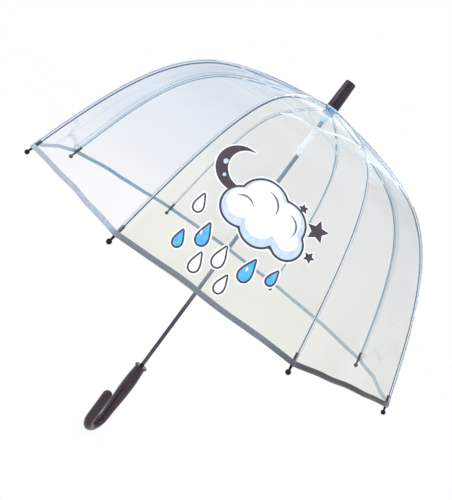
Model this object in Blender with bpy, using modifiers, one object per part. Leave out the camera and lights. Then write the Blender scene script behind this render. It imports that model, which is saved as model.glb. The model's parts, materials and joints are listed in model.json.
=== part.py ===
"""Clear bubble umbrella, standing upright and open.

Frame: +Z runs up the shaft to the ferrule, the origin is on the shaft's axis level with the bottom of
the crook, and the front panel of the canopy faces -Y. Units are metres.

Each rib, stretcher and canopy panel is modelled once, in the vertical plane of its own radius, with its
origin on its hinge, and is then turned about the shaft to its place.
"""

import bmesh
import bpy
from math import acos, asin, atan2, cos, pi, radians, sin
from mathutils import Matrix, Vector
from mathutils.geometry import interpolate_bezier

# Canopy
RIB_COUNT = 8
STEP = 2 * pi / RIB_COUNT
FIRST_RIB = STEP / 2
RIM_RADIUS = 0.415
RIM_HEIGHT = 0.395
FILM_OFFSET = 0.0040
FILM_THICKNESS = 0.0004
FILM_GAP = 0.0006
CROWN_HOLE_RADIUS = 0.0125
HEM_RISE = 0.0105

# Linkage, as (radius, height) in the plane of one rib
PIVOT_RADIUS = 0.0103
NOTCH_HEIGHT = RIM_HEIGHT + 0.921 * RIM_RADIUS
RUNNER_HEIGHT = RIM_HEIGHT + 0.822 * RIM_RADIUS
SHOULDER = Vector((0.485 * RIM_RADIUS, RIM_HEIGHT + 0.8095 * RIM_RADIUS))
TIP = Vector((RIM_RADIUS, RIM_HEIGHT))
NOTCH = Vector((PIVOT_RADIUS, NOTCH_HEIGHT))
CROWN_SLOPE = radians(8)
SHOULDER_SLOPE = radians(22)
TIP_SLOPE = radians(71)
STRETCHER_FROM_SHOULDER = 0.010
FLEX_FROM_SHOULDER = 0.070
FLEX_FOLDED_RADIUS = 0.0135

# Ribs and stretchers
ROD_RADIUS = 0.0015
INNER_ROD_RADIUS = 0.0016
ROD_END_GAP = 0.0020
TAB_LENGTH = 0.014
TAB_THICKNESS = 0.0022
TAB_HALF_HEIGHT = 0.0014
EYE_RADIUS = 0.0019
FORK_EYE_RADIUS = 0.0023
FORK_HALF_HEIGHT = 0.0015
FORK_GAP = 0.0039
FORK_WIDTH = 0.0057
FORK_START = 0.020
TIP_LENGTH = 0.031
TIP_SOCKET_END = 0.009
BALL_RADIUS = 0.0045
SLEEVE_RADIUS = 0.0026

# Shaft, hubs and fittings
SHAFT_RADIUS = 0.0040
SHAFT_BORE = 0.0034
SHAFT_BOTTOM = 0.128
SHAFT_TOP = 0.804
FIT = 0.0003
HUB_BORE = SHAFT_RADIUS + FIT
HUB_SLOT_WIDTH = 0.0030
HUB_SLOT_START = 0.0081
FERRULE_BASE = RIM_HEIGHT + 0.938 * RIM_RADIUS
FERRULE_TOP = RIM_HEIGHT + 1.080 * RIM_RADIUS
FERRULE_END_RADIUS = 0.0110
FERRULE_BASE_RADIUS = 0.0125
RUNNER_BELOW_PIVOT = 0.062
TURN_STEPS = 32
SMALL_TURN_STEPS = 12

# Catches on the side of the shaft
CATCH_AZIMUTH = pi / 2
CATCH_THICKNESS = 0.0010
CATCH_REACH = 0.0057
CATCH_LENGTH = 0.020
CATCH_SLOT_WIDTH = 0.0016
RUNNER_KEYWAY_RADIUS = 0.0061
RUNNER_KEYWAY_WIDTH = 0.0018

# Handle
COLLAR_TOP = RIM_HEIGHT - 0.566 * RIM_RADIUS
HANDLE_TOP = COLLAR_TOP - 0.0045
CROOK_RADIUS = 0.0255
ARM_RADIUS = 0.0098
NECK_RADIUS = 0.0106
GRIP_SWELL = 0.0028
GRIP_SKEW = 0.75
COLLAR_RADIUS = 0.0132
CROOK_AZIMUTH = radians(245)
HOOK_TIP_HEIGHT = 0.097

# Closing strap, on the panel at the back left
STRAP_PANEL = 4
STRAP_WIDTH = 0.012
STRAP_FROM_RIB = 0.016
STRAP_LENGTH = 0.062
STRAP_STANDOFF = 0.0009
STUD_RADIUS = 0.0048

for old in list(bpy.data.objects):
    bpy.data.objects.remove(old, do_unlink=True)

umbrella = bpy.data.collections.new("bubble_umbrella")
cutters = bpy.data.collections.new("cutters")
for collection in (umbrella, cutters):
    bpy.context.scene.collection.children.link(collection)


def material(name, colour, roughness, metallic=0.0, alpha=1.0):
    made = bpy.data.materials.new(name)
    made.use_nodes = True
    shader = made.node_tree.nodes["Principled BSDF"]
    shader.inputs["Base Color"].default_value = (*colour, 1.0)
    shader.inputs["Roughness"].default_value = roughness
    shader.inputs["Metallic"].default_value = metallic
    shader.inputs["Alpha"].default_value = alpha
    made.diffuse_color = (*colour, alpha)
    return made


STEEL = material("dark_steel", (0.16, 0.18, 0.20), 0.3, metallic=0.9)
SPRING_STEEL = material("spring_steel", (0.55, 0.56, 0.58), 0.35, metallic=1.0)
AUBERGINE = material("aubergine_plastic", (0.045, 0.028, 0.036), 0.32)
CLEAR_HUB = material("clear_blue_plastic", (0.72, 0.83, 0.94), 0.25, alpha=0.8)
WHITE_PLASTIC = material("white_plastic", (0.86, 0.88, 0.90), 0.4)
WHITE_ROD = material("pale_fibreglass", (0.62, 0.70, 0.76), 0.3)
BLACK_PLASTIC = material("black_plastic", (0.02, 0.02, 0.022), 0.2)
CLEAR_FILM = material("clear_film", (0.90, 0.93, 0.95), 0.08, alpha=0.25)
FROSTED_FILM = material("frosted_film", (0.85, 0.90, 0.94), 0.3, alpha=0.5)


def place(name, mesh, finish, location=(0, 0, 0), azimuth=0.0, into=None):
    """An object of this mesh in the umbrella's collection, turned about its own vertical."""
    if not mesh.materials:
        mesh.materials.append(finish)
    made = bpy.data.objects.new(name, mesh)
    made.location = location
    made.rotation_euler.z = azimuth
    (into or umbrella).objects.link(made)
    return made


def place_ring(stem, mesh, finish, radius, height, first):
    """One object for each rib or panel, with its origin at this radius and height."""
    for number in range(RIB_COUNT):
        azimuth = first + number * STEP
        spot = (radius * cos(azimuth), radius * sin(azimuth), height)
        place(f"{stem}_{number + 1}", mesh, finish, spot, azimuth)


def evaluated_mesh(made, name):
    """The object's mesh with its modifiers applied and loose points welded; the object is removed."""
    bpy.context.view_layer.update()
    graph = bpy.context.evaluated_depsgraph_get()
    mesh = bpy.data.meshes.new_from_object(made.evaluated_get(graph))
    mesh.transform(made.matrix_world)
    mesh.name = name
    bpy.data.objects.remove(made, do_unlink=True)
    shape = bmesh.new()
    shape.from_mesh(mesh)
    bmesh.ops.remove_doubles(shape, verts=shape.verts, dist=1e-6)
    bmesh.ops.recalc_face_normals(shape, faces=shape.faces)
    shape.to_mesh(mesh)
    shape.free()
    mesh.materials.clear()
    mesh.shade_smooth()
    mesh.set_sharp_from_angle(angle=radians(35))
    return mesh


def turned_mesh(name, profile, closed=False, steps=TURN_STEPS):
    """A solid of revolution. The profile holds (radius, height) points down the outer side."""
    mesh = bpy.data.meshes.new(name)
    links = [(i, i + 1) for i in range(len(profile) - 1)]
    if closed:
        links.append((len(profile) - 1, 0))
    mesh.from_pydata([(r, 0, z) for r, z in profile], links, [])
    made = bpy.data.objects.new(name, mesh)
    cutters.objects.link(made)
    screw = made.modifiers.new("turn", "SCREW")
    screw.steps = steps
    screw.render_steps = steps
    screw.use_merge_vertices = True
    screw.merge_threshold = 1e-5
    return evaluated_mesh(made, name)


def rod_mesh(name, points, radii, sides_setting=1):
    """A round rod through the points, with flat ends."""
    curve = bpy.data.curves.new(name, "CURVE")
    curve.dimensions = "3D"
    curve.bevel_depth = 1.0
    curve.bevel_resolution = sides_setting
    curve.use_fill_caps = True
    spline = curve.splines.new("POLY")
    spline.points.add(len(points) - 1)
    for spot, point, radius in zip(spline.points, points, radii):
        spot.co = (*point, 1.0)
        spot.radius = radius
    made = bpy.data.objects.new(name, curve)
    cutters.objects.link(made)
    return evaluated_mesh(made, name)


def plate_mesh(name, outline, thickness):
    """A flat plate in the XZ plane, centred on Y = 0. The outline holds (x, z) points."""
    curve = bpy.data.curves.new(name, "CURVE")
    curve.dimensions = "2D"
    curve.fill_mode = "BOTH"
    curve.extrude = thickness / 2
    spline = curve.splines.new("POLY")
    spline.points.add(len(outline) - 1)
    for spot, (x, z) in zip(spline.points, outline):
        spot.co = (x, z, 0, 1)
    spline.use_cyclic_u = True
    made = bpy.data.objects.new(name, curve)
    made.rotation_euler.x = pi / 2
    cutters.objects.link(made)
    return evaluated_mesh(made, name)


def boxes_mesh(name, boxes):
    """Separate boxes in one mesh. Each is (centre, size, turn about Z)."""
    shape = bmesh.new()
    for centre, size, turn in boxes:
        place_box = Matrix.Rotation(turn, 4, "Z") @ Matrix.Translation(centre)
        sized = place_box @ Matrix.Diagonal((*size, 1.0))
        bmesh.ops.create_cube(shape, size=1.0, matrix=sized)
    mesh = bpy.data.meshes.new(name)
    shape.to_mesh(mesh)
    shape.free()
    return mesh


def combined(name, mesh, other, operation):
    """The mesh after a Boolean with the other mesh."""
    base = place(name + "_base", mesh, None, into=cutters)
    tool = place(name + "_tool", other, None, into=cutters)
    for helper in (base, tool):
        helper.hide_render = True
        helper.display_type = "WIRE"
    boolean = base.modifiers.new("combine", "BOOLEAN")
    boolean.operation = operation
    boolean.solver = "EXACT"
    boolean.object = tool
    result = evaluated_mesh(base, name)
    bpy.data.objects.remove(tool, do_unlink=True)
    return result


def radial(point):
    """A (radius, height) point as a 3-D point in the plane of azimuth 0."""
    return Vector((point[0], 0.0, point[1]))


def slope_vector(angle):
    """The unit (radius, height) vector that points outwards and down by this angle."""
    return Vector((cos(angle), -sin(angle)))


def bezier(start, start_slope, start_reach, end, end_slope, end_reach, count):
    """Points on a curve that leaves start and meets end at these slopes."""
    handle_out = start + start_reach * slope_vector(start_slope)
    handle_in = end - end_reach * slope_vector(end_slope)
    return interpolate_bezier(start, handle_out, handle_in, end, count)


def inner_line():
    """The rib's centreline from the notch to the shoulder."""
    reach = (SHOULDER - NOTCH).length / 3
    return bezier(NOTCH, CROWN_SLOPE, reach, SHOULDER, SHOULDER_SLOPE, reach, 7)


def outer_line():
    """The rib's centreline from the shoulder to the ball on its tip."""
    reaches = 0.28 * RIM_RADIUS, 0.45 * RIM_RADIUS
    return bezier(SHOULDER, SHOULDER_SLOPE, reaches[0], TIP, TIP_SLOPE, reaches[1], 17)


def length_of(line):
    return sum((after - before).length for before, after in zip(line, line[1:]))


def trimmed(line, from_start, from_end):
    """A line of points with these lengths cut off its two ends."""
    result = list(line)
    for length in (from_start, from_end):
        while (result[1] - result[0]).length < length:
            length -= (result[1] - result[0]).length
            result.pop(0)
        result[0] = result[0].lerp(result[1], length / (result[1] - result[0]).length)
        result.reverse()
    return result


def rib_parts():
    """The rib's centreline on either side of the place where it flexes as the umbrella closes."""
    whole = inner_line() + outer_line()[1:]
    upper = length_of(inner_line()) + FLEX_FROM_SHOULDER
    return trimmed(whole, 0.0, length_of(whole) - upper), trimmed(whole, upper, 0.0)


def offset_line(line, distance):
    """The line moved outwards, square to itself."""
    moved = []
    for number, point in enumerate(line):
        before = line[max(number - 1, 0)]
        after = line[min(number + 1, len(line) - 1)]
        along = (after - before).normalized()
        moved.append(point + distance * Vector((-along[1], along[0])))
    return moved


def arc(centre, radius, start, end, count):
    """Points on an arc in a plane, from one angle to another."""
    turns = [start + (end - start) * i / (count - 1) for i in range(count)]
    return [(centre[0] + radius * cos(a), centre[1] + radius * sin(a)) for a in turns]


def link_outline(length, near_radius, far_radius, half_height):
    """A bar along +X with a round eye at each end, as a closed outline."""
    near_turn = asin(half_height / near_radius)
    far_turn = asin(half_height / far_radius)
    far_eye = arc((length, 0), far_radius, far_turn - pi, pi - far_turn, 11)
    near_eye = arc((0, 0), near_radius, near_turn, 2 * pi - near_turn, 11)
    return far_eye + near_eye


def make_ribs():
    upper, lower = rib_parts()
    line = trimmed(upper, TAB_LENGTH * 0.6, ROD_END_GAP)
    points = [radial(p - NOTCH) for p in line]
    rod = rod_mesh("rib_upper_rod", points, [INNER_ROD_RADIUS] * len(points))
    outline = link_outline(TAB_LENGTH, EYE_RADIUS, EYE_RADIUS, TAB_HALF_HEIGHT)
    tab = plate_mesh("rib_tab", outline, TAB_THICKNESS)
    tab.transform(Matrix.Rotation(CROWN_SLOPE, 4, "Y"))
    rib = combined("rib_upper", rod, tab, "UNION")
    place_ring("rib_upper", rib, WHITE_ROD, PIVOT_RADIUS, NOTCH_HEIGHT, FIRST_RIB)

    flex = lower[0]
    points = [radial(p - flex) for p in trimmed(lower, 0.0, TIP_SOCKET_END)]
    rib = rod_mesh("rib_lower", points, [ROD_RADIUS] * len(points))
    place_ring("rib_lower", rib, WHITE_ROD, flex[0], flex[1], FIRST_RIB)


def make_rib_tips():
    """A socket over the rod's end, a waist where the hem is tied, and a ball."""
    waist = 0.0016
    bore = ROD_RADIUS + FIT
    socket_floor = TIP_SOCKET_END - FIT
    step = SLEEVE_RADIUS - 0.0005
    socket = [
        (0, socket_floor),
        (bore, socket_floor),
        (bore, TIP_LENGTH),
        (step, TIP_LENGTH),
        (SLEEVE_RADIUS, TIP_LENGTH - 0.0008),
        (SLEEVE_RADIUS, 0.0165),
        (step, 0.0155),
        (step, 0.0085),
    ]
    leave = asin(waist / BALL_RADIUS)
    ball = arc((0, 0), BALL_RADIUS, pi / 2 - leave, -pi / 2, 7)
    profile = socket + [(waist, 0.0075)] + ball[:-1] + [(0, -BALL_RADIUS)]
    tip = turned_mesh("rib_tip", profile, steps=SMALL_TURN_STEPS)
    tip.transform(Matrix.Rotation(TIP_SLOPE - pi / 2, 4, "Y"))
    place_ring("rib_tip", tip, BLACK_PLASTIC, TIP[0], TIP[1], FIRST_RIB)


def stretcher_ends():
    """Where a stretcher meets the runner and the rib, as (radius, height)."""
    meets_rib = trimmed(inner_line(), 0.0, STRETCHER_FROM_SHOULDER)[-1]
    return Vector((PIVOT_RADIUS, RUNNER_HEIGHT)), meets_rib


def make_stretchers():
    """A bar with a flat tab in the runner, forked from there on so that it straddles the rib."""
    start, end = stretcher_ends()
    span = end - start
    outline = link_outline(span.length, EYE_RADIUS, FORK_EYE_RADIUS, FORK_HALF_HEIGHT)
    bar = plate_mesh("stretcher_bar", outline, FORK_WIDTH)
    deep = 4 * FORK_EYE_RADIUS
    boxes = [((FORK_START + span.length / 2, 0, 0), (span.length, FORK_GAP, deep), 0)]
    for side in (-1, 1):
        centre = (0, side * (TAB_THICKNESS + FORK_WIDTH) / 2, 0)
        boxes.append((centre, (2 * FORK_START - FORK_WIDTH, FORK_WIDTH, deep), 0))
    fork = combined("stretcher", bar, boxes_mesh("stretcher_cuts", boxes), "DIFFERENCE")
    fork.transform(Matrix.Rotation(-atan2(span[1], span[0]), 4, "Y"))
    place_ring("stretcher", fork, WHITE_ROD, PIVOT_RADIUS, RUNNER_HEIGHT, FIRST_RIB)


def folded_runner_height():
    """The runner's height when the flex points have come in to the shaft."""
    upper, _ = rib_parts()
    start, end = stretcher_ends()
    reach = upper[-1] - NOTCH
    rest_angle = atan2(-reach[1], reach[0])
    folded_angle = acos((FLEX_FOLDED_RADIUS - PIVOT_RADIUS) / reach.length)
    arm = end - NOTCH
    arm_angle = atan2(-arm[1], arm[0]) + folded_angle - rest_angle
    folded_end = NOTCH + arm.length * slope_vector(arm_angle)
    aside = folded_end[0] - PIVOT_RADIUS
    return folded_end[1] - ((end - start).length_squared - aside**2) ** 0.5


def hub_slots(height):
    """Eight radial slots through a hub's rim, one for each rib."""
    length = 0.012
    centre = (HUB_SLOT_START + length / 2, 0, height)
    size = (length, HUB_SLOT_WIDTH, 0.009)
    return [(centre, size, FIRST_RIB + i * STEP) for i in range(RIB_COUNT)]


def make_crown():
    rim_half = 0.0030
    profile = [
        (HUB_BORE, FERRULE_BASE - 0.0021),
        (0.0080, FERRULE_BASE - 0.0021),
        (0.0080, NOTCH_HEIGHT + rim_half),
        (0.0120, NOTCH_HEIGHT + rim_half),
        (0.0120, NOTCH_HEIGHT - rim_half),
        (0.0074, NOTCH_HEIGHT - rim_half),
        (0.0062, NOTCH_HEIGHT - 0.025),
        (HUB_BORE, NOTCH_HEIGHT - 0.025),
    ]
    hub = turned_mesh("crown_hub", profile, closed=True)
    cuts = boxes_mesh("notch_cuts", hub_slots(NOTCH_HEIGHT))
    place("crown_notch", combined("crown_notch", hub, cuts, "DIFFERENCE"), CLEAR_HUB)

    washer_top = FERRULE_BASE - 0.0003
    washer_base = FERRULE_BASE - 0.0015
    washer = [
        (HUB_BORE, washer_top),
        (0.0140, washer_top),
        (0.0150, washer_base),
        (HUB_BORE, washer_base),
    ]
    place("crown_washer", turned_mesh("crown_washer", washer, closed=True), CLEAR_HUB)

    socket_top = SHAFT_TOP + 0.001
    ferrule = [
        (0, FERRULE_TOP),
        (FERRULE_END_RADIUS - 0.0018, FERRULE_TOP),
        (FERRULE_END_RADIUS - 0.0005, FERRULE_TOP - 0.0005),
        (FERRULE_END_RADIUS, FERRULE_TOP - 0.0018),
        (FERRULE_BASE_RADIUS, FERRULE_BASE + 0.0010),
        (FERRULE_BASE_RADIUS - 0.0005, FERRULE_BASE),
        (HUB_BORE, FERRULE_BASE),
        (HUB_BORE, socket_top),
        (0, socket_top),
    ]
    place("ferrule", turned_mesh("ferrule", ferrule), AUBERGINE)


def make_runner():
    rim_half = 0.0032
    base = RUNNER_HEIGHT - RUNNER_BELOW_PIVOT
    grip_top = base + 0.018
    profile = [
        (HUB_BORE, RUNNER_HEIGHT + rim_half),
        (0.0112, RUNNER_HEIGHT + rim_half),
        (0.0120, RUNNER_HEIGHT + rim_half - 0.0008),
        (0.0120, RUNNER_HEIGHT - rim_half),
        (0.0078, RUNNER_HEIGHT - rim_half - 0.002),
        (0.0068, RUNNER_HEIGHT - rim_half - 0.008),
        (0.0068, grip_top + 0.001),
        (0.0098, grip_top),
        (0.0098, grip_top - 0.003),
        (0.0088, grip_top - 0.004),
        (0.0088, base + 0.001),
        (0.0080, base),
        (HUB_BORE, base),
    ]
    sleeve = turned_mesh("runner_sleeve", profile, closed=True)
    centre = (RUNNER_KEYWAY_RADIUS / 2, 0, RUNNER_HEIGHT - RUNNER_BELOW_PIVOT / 2)
    size = (RUNNER_KEYWAY_RADIUS, RUNNER_KEYWAY_WIDTH, RUNNER_BELOW_PIVOT + 0.02)
    cuts = boxes_mesh("runner_cuts", hub_slots(RUNNER_HEIGHT) + [(centre, size, CATCH_AZIMUTH)])
    place("runner", combined("runner", sleeve, cuts, "DIFFERENCE"), WHITE_PLASTIC)


def catch_outline(ledge, towards):
    """A leaf inside the tube, with a fin that stands out from the ledge and slopes back in."""
    leaf_in, leaf_out = -0.0014, 0.0026
    fin_end = ledge + towards * CATCH_LENGTH
    leaf_ends = ledge - towards * 0.006, fin_end + towards * 0.006
    return [
        (leaf_in, leaf_ends[0]),
        (leaf_out, leaf_ends[0]),
        (leaf_out, ledge),
        (CATCH_REACH, ledge),
        (CATCH_REACH, ledge + towards * 0.003),
        (leaf_out, fin_end),
        (leaf_out, leaf_ends[1]),
        (leaf_in, leaf_ends[1]),
    ]


def make_shaft_and_catches():
    shaft = [
        (SHAFT_BORE, SHAFT_TOP),
        (SHAFT_RADIUS, SHAFT_TOP),
        (SHAFT_RADIUS, SHAFT_BOTTOM),
        (SHAFT_BORE, SHAFT_BOTTOM),
    ]
    tube = turned_mesh("shaft_blank", shaft, closed=True)
    top_ledge = RUNNER_HEIGHT - RUNNER_BELOW_PIVOT - 0.001
    lower_ledge = folded_runner_height() + 0.0042
    slots = []
    for name, ledge, towards in (("top_catch", top_ledge, -1), ("lower_catch", lower_ledge, 1)):
        catch = plate_mesh(name, catch_outline(ledge, towards), CATCH_THICKNESS)
        place(name, catch, SPRING_STEEL, azimuth=CATCH_AZIMUTH)
        centre = (SHAFT_RADIUS, 0, ledge + towards * CATCH_LENGTH / 2)
        size = (0.003, CATCH_SLOT_WIDTH, CATCH_LENGTH + 0.001)
        slots.append((centre, size, CATCH_AZIMUTH))
    slotted = combined("shaft_tube", tube, boxes_mesh("shaft_cuts", slots), "DIFFERENCE")
    place("shaft_tube", slotted, STEEL)


def grip_radius(share):
    """The grip is slim at the collar, fullest a little above half way down, and slims to the crook."""
    swell = sin(pi * share**GRIP_SKEW) ** 1.5
    return NECK_RADIUS + (ARM_RADIUS - NECK_RADIUS) * share + GRIP_SWELL * swell


def crook_line():
    """The handle's centreline and radii, from its top down and round to the hook's tip."""
    grip_length = HANDLE_TOP - ARM_RADIUS - CROOK_RADIUS
    points, radii = [], []
    for share in (0.0, 0.06, 0.16, 0.30, 0.45, 0.62, 0.80):
        points.append((0.0, HANDLE_TOP - share * grip_length))
        radii.append(grip_radius(share))
    for spot in arc((CROOK_RADIUS, ARM_RADIUS + CROOK_RADIUS), CROOK_RADIUS, pi, 2 * pi, 13):
        points.append(spot)
        radii.append(ARM_RADIUS)
    for share in (0.0, 0.35, 0.65, 0.86, 0.97):
        points.append((2 * CROOK_RADIUS, HOOK_TIP_HEIGHT - ARM_RADIUS * (1 - share)))
        radii.append(ARM_RADIUS * (1 - share**2) ** 0.5)
    return points, radii


def make_handle():
    points, radii = crook_line()
    crook = rod_mesh("crook_blank", [radial(p) for p in points], radii, sides_setting=4)
    depth = HANDLE_TOP - SHAFT_BOTTOM + 0.006
    socket = bmesh.new()
    spot = Matrix.Translation((0, 0, SHAFT_BOTTOM - FIT + depth / 2))
    bmesh.ops.create_cone(
        socket,
        cap_ends=True,
        segments=TURN_STEPS,
        radius1=HUB_BORE,
        radius2=HUB_BORE,
        depth=depth,
        matrix=spot,
    )
    bore = bpy.data.meshes.new("handle_bore")
    socket.to_mesh(bore)
    socket.free()
    handle = combined("crook_handle", crook, bore, "DIFFERENCE")
    place("crook_handle", handle, AUBERGINE, azimuth=CROOK_AZIMUTH)

    collar = [
        (HUB_BORE, COLLAR_TOP),
        (COLLAR_RADIUS - 0.0011, COLLAR_TOP),
        (COLLAR_RADIUS, COLLAR_TOP - 0.0010),
        (COLLAR_RADIUS, COLLAR_TOP - 0.0030),
        (COLLAR_RADIUS - 0.0009, COLLAR_TOP - 0.0040),
        (HUB_BORE, COLLAR_TOP - 0.0040),
    ]
    place("handle_collar", turned_mesh("handle_collar", collar, closed=True), AUBERGINE)


def sheet_mesh(name, rows, thickness):
    """A thin solid from rows of points, thickened outwards."""
    mesh = bpy.data.meshes.new(name)
    across = len(rows[0])
    points = [point for row in rows for point in row]
    faces = []
    for i in range(len(rows) - 1):
        for j in range(across - 1):
            corner = i * across + j
            faces.append((corner, corner + across, corner + across + 1, corner + 1))
    mesh.from_pydata(points, [], faces)
    made = bpy.data.objects.new(name, mesh)
    cutters.objects.link(made)
    solidify = made.modifiers.new("thickness", "SOLIDIFY")
    solidify.thickness = thickness
    solidify.offset = 1.0
    return evaluated_mesh(made, name)


def panel_rows(line, pivot):
    """A panel's rows of points: each is a straight chord from one rib's plane to the next."""
    rows = []
    for radius, height in line:
        half = radius * sin(STEP / 2) - FILM_GAP
        out = radius * cos(STEP / 2) - pivot[0]
        rows.append([(out, side * half, height - pivot[1]) for side in (-1, 1)])
    return rows


def film_lines():
    """The film's inner surface above a rib, in two parts that meet where the rib flexes."""
    upper, lower = rib_parts()
    upper = offset_line(upper, FILM_OFFSET)
    share = (CROWN_HOLE_RADIUS - upper[0][0]) / (upper[1][0] - upper[0][0])
    upper[0] = upper[0].lerp(upper[1], share)
    lower = trimmed(offset_line(lower, FILM_OFFSET), FILM_GAP, HEM_RISE)
    return upper, lower


def panel_pivots():
    """The hinge points of the two parts of a panel, in its own middle plane."""
    upper, lower = film_lines()
    flat = cos(STEP / 2)
    crown = Vector((upper[0][0] * flat, upper[0][1]))
    flex = Vector((upper[-1][0] * flat, upper[-1][1]))
    return crown, flex


def make_canopy():
    for stem, line, pivot in zip(("canopy_upper", "canopy_lower"), film_lines(), panel_pivots()):
        mesh = sheet_mesh(stem, panel_rows(line, pivot), FILM_THICKNESS)
        place_ring(stem, mesh, CLEAR_FILM, pivot[0], pivot[1], STEP)


def strap_rows():
    """The strap lies on the outside of its panel, beside the rib, from the hem upwards."""
    _, lower = film_lines()
    line = offset_line(lower, STRAP_STANDOFF)
    line.reverse()
    rows = []
    for radius, height in trimmed(line, 0.003, length_of(line) - STRAP_LENGTH):
        edge = radius * sin(STEP / 2) - STRAP_FROM_RIB
        out = radius * cos(STEP / 2)
        rows.append([(out, -edge, height), (out, -edge + STRAP_WIDTH, height)])
    return rows


def make_strap():
    azimuth = STEP * STRAP_PANEL
    rows = strap_rows()
    rows.reverse()
    strap = sheet_mesh("closing_strap", rows, 0.0006)
    place("closing_strap", strap, FROSTED_FILM, azimuth=azimuth)

    end, before = rows[0], rows[1]
    middle = (Vector(end[0]) + Vector(end[1])) / 2
    lower_middle = (Vector(before[0]) + Vector(before[1])) / 2
    along = (lower_middle - middle).normalized()
    outwards = Vector((0, 1, 0)).cross(along)
    if outwards.x < 0:
        outwards.negate()
    spot = middle + 0.007 * along + 0.0010 * outwards
    disc = [
        (0, 0.0018),
        (0.0022, 0.0018),
        (0.0026, 0.0010),
        (STUD_RADIUS, 0.0008),
        (STUD_RADIUS, 0),
        (0, 0),
    ]
    stud = turned_mesh("strap_stud", disc, steps=SMALL_TURN_STEPS)
    stand = Vector((0, 0, 1)).rotation_difference(outwards).to_matrix().to_4x4()
    stud.transform(Matrix.Translation(spot) @ stand)
    place("strap_stud", stud, FROSTED_FILM, azimuth=azimuth)


make_ribs()
make_rib_tips()
make_stretchers()
make_crown()
make_runner()
make_shaft_and_catches()
make_handle()
make_canopy()
make_strap()
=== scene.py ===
"""Looks for the clear bubble umbrella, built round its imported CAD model.

Every place comes from the CAD: the joints' points, the boxes of its nodes and the outline of its film.
A point on the canopy is given by the azimuth of its gore, a distance u across from the gore's middle
line, a distance d down the film from the crown, and a lift off the film.
"""

import json
from bisect import bisect_right
from contextlib import contextmanager
from math import acos, atan2, cos, exp, pi, radians, sin, sqrt

import bmesh
import bpy
from mathutils import Matrix, Vector, noise


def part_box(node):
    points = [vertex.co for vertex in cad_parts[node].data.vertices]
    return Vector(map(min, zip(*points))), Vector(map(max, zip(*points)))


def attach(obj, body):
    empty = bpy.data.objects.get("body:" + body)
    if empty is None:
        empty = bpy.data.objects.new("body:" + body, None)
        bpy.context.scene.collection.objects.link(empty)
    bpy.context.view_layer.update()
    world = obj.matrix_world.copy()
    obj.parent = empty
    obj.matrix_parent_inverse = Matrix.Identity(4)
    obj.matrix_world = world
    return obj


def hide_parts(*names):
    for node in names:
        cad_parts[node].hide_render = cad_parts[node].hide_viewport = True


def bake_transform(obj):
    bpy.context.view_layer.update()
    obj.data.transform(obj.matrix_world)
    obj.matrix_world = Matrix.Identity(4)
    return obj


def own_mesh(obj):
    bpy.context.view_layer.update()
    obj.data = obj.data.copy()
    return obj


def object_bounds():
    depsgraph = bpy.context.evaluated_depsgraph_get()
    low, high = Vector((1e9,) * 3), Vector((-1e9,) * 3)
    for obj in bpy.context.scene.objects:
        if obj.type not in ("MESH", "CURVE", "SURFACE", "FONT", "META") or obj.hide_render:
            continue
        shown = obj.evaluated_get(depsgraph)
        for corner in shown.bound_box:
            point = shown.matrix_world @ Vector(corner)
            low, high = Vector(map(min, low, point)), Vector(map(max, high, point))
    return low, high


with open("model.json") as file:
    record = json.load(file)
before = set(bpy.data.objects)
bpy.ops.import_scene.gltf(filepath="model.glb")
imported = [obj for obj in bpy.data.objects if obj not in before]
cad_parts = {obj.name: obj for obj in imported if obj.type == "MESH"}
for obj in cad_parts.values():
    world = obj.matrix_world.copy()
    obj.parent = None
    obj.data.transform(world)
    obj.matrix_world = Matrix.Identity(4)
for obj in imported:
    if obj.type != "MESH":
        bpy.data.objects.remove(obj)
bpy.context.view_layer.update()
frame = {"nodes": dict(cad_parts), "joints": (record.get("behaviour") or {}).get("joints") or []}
scene = bpy.context.scene

NUMBERS = range(1, 9)
STEP = 2 * pi / len(NUMBERS)
FLAT = cos(STEP / 2)  # a gore's middle line is this share of its ribs' radius from the shaft
PRINT_PANEL = 6
STRAP_PANEL = 4
FRONT_AZIMUTH = radians(292.5)

# Film
FILM_THICKNESS = 0.0003
FILM_ABOVE_RIB = 0.0042
FILM_START = 0.0018
SEAM_START = 0.017
HEM_BULGE = 0.0032
CREASE = 0.0016
SLACK_AT_CROWN = 0.0007
SLACK_AT_HEM = 0.0024
FLAT_BY_FLEX = 0.035
NEAR_FLEX = (0.0007, 0.0020, 0.0040)

# Rods and their fittings
ROD_RADIUS = 0.0015
ROD_BEND = 0.03
RIB_START = 0.012
BALL_RADIUS = 0.0045
FORK_EYE_RADIUS = 0.0023
STRETCHER_BOW = 0.0062
BOW_SKEW = 1.3
TIE_FROM_FLEX = 0.14

# Handle
CROOK_AZIMUTH = radians(245)
CROOK_RADIUS = 0.0255
ARM_RADIUS = 0.0098
NECK_RADIUS = 0.0106
GRIP_SWELL = 0.0028
HOOK_TIP_HEIGHT = 0.097

# Closing strap
STRAP_LENGTH = 0.062
STRAP_WIDTH = 0.012
STRAP_FROM_RIB = 0.016
STRAP_FROM_HEM = 0.0025
STUD_FROM_END = 0.007

JOINTS = {joint["name"]: joint for joint in frame["joints"]}


def joint_point(name):
    """A hinge's point as (radius, height)."""
    x, y, z = JOINTS[name]["pos_m"]
    return Vector((sqrt(x * x + y * y), z))


def rib_azimuth(number):
    return STEP * (number - 0.5)


def panel_azimuth(number):
    return STEP * number


def spoke(azimuth):
    """Unit vectors outwards, sideways and up in the plane of this azimuth."""
    outwards = Vector((cos(azimuth), sin(azimuth), 0))
    return outwards, Vector((-sin(azimuth), cos(azimuth), 0)), Vector((0, 0, 1))


def in_plane(azimuth, point):
    """The (radius, height) point or direction in space, in the plane of this azimuth."""
    outwards, _, up = spoke(azimuth)
    return outwards * point.x + up * point.y


def placed(name, data):
    """A new object in the scene."""
    made = bpy.data.objects.new(name, data)
    scene.collection.objects.link(made)
    return made


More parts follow.
